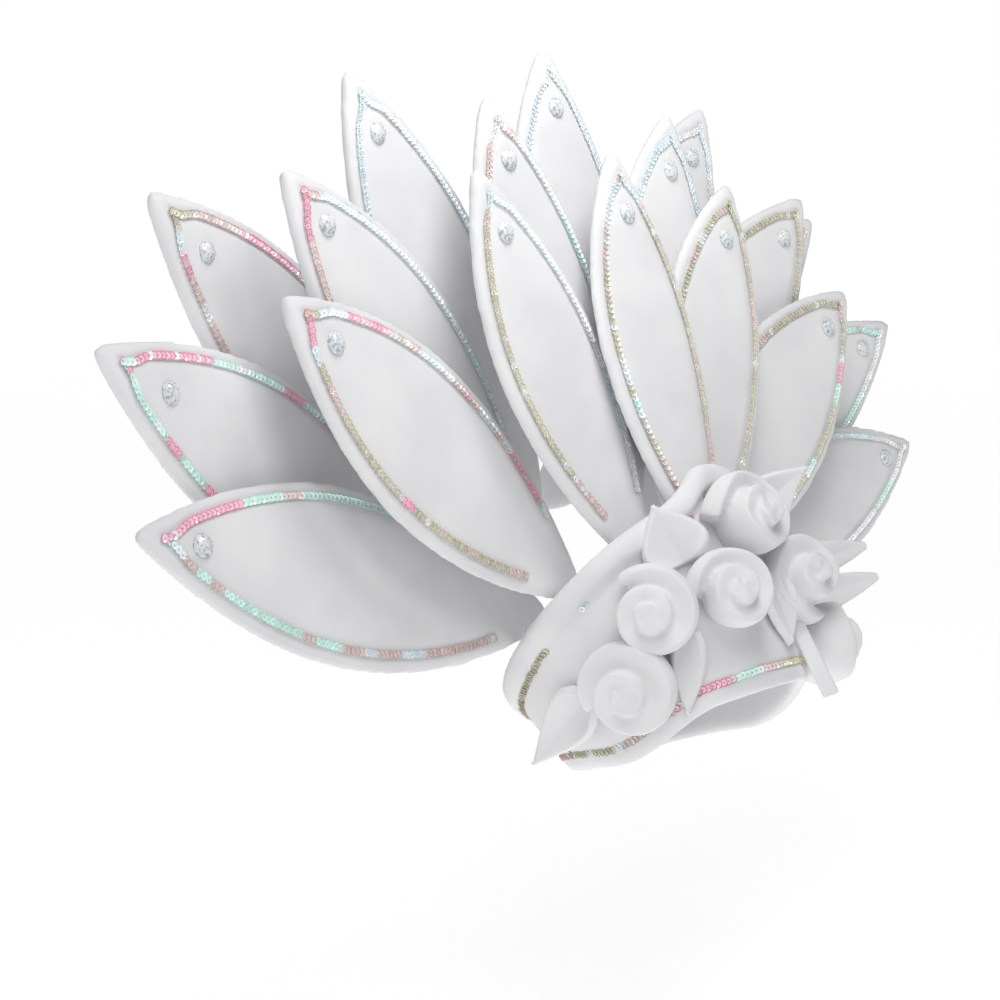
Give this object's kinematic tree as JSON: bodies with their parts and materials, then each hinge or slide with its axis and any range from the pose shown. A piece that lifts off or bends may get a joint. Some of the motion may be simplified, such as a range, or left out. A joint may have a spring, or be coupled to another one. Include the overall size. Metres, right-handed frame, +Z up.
{
  "type": "feather crown",
  "caption": "Carnival headdress of white foam: a peaked band with rolled roses and leaves before rows of large leaf-shaped feathers edged with sequin strings, a clear stone below each tip.",
  "frame": {"origin": "centre of the band's opening at the height of its lower front edge, where the crown sits on a head", "axes": "+Z up as worn, front of the wearer towards -Y, +X to the wearer's left"},
  "size_m": [0.9068, 0.3569, 0.5798],
  "materials": {
    "white_foam": "soft foam sheet, finely porous, matt",
    "sequin_string": "iridescent sequins on a thread, in runs of pink, mint, pale blue, gold-olive and rose-brown",
    "clear_stone": "clear, faceted, polished"
  },
  "bodies": {
    "root": {"band": "white_foam", "band_trim_upper": "sequin_string", "band_trim_lower": "sequin_string", "petal_front_0": "white_foam", "petal_front_1": "white_foam", "petal_front_2": "white_foam", "petal_front_3": "white_foam", "petal_front_4": "white_foam", "petal_front_5": "white_foam", "petal_front_6": "white_foam", "petal_middle_0": "white_foam", "petal_middle_1": "white_foam", "petal_middle_2": "white_foam", "petal_middle_3": "white_foam", "petal_middle_4": "white_foam", "petal_middle_5": "white_foam", "petal_back_0": "white_foam", "petal_back_1": "white_foam", "petal_back_2": "white_foam", "petal_back_3": "white_foam", "petal_back_4": "white_foam", "trim_front_0": "sequin_string", "trim_front_1": "sequin_string", "trim_front_2": "sequin_string", "trim_front_3": "sequin_string", "trim_front_4": "sequin_string", "trim_front_5": "sequin_string", "trim_front_6": "sequin_string", "trim_middle_0": "sequin_string", "trim_middle_1": "sequin_string", "trim_middle_2": "sequin_string", "trim_middle_3": "sequin_string", "trim_middle_4": "sequin_string", "trim_middle_5": "sequin_string", "trim_back_0": "sequin_string", "trim_back_1": "sequin_string", "trim_back_2": "sequin_string", "trim_back_3": "sequin_string", "trim_back_4": "sequin_string", "gem_front_0": "clear_stone", "gem_front_1": "clear_stone", "gem_front_2": "clear_stone", "gem_front_3": "clear_stone", "gem_front_4": "clear_stone", "gem_front_5": "clear_stone", "gem_front_6": "clear_stone", "rose_0": "white_foam", "rose_1": "white_foam", "rose_2": "white_foam", "rose_3": "white_foam", "rose_4": "white_foam", "rose_5": "white_foam", "leaf_0": "white_foam", "leaf_1": "white_foam", "leaf_2": "white_foam", "leaf_3": "white_foam", "leaf_4": "white_foam", "leaf_5": "white_foam", "leaf_6": "white_foam", "hanging_strip": "white_foam"}
  },
  "joints": []
}
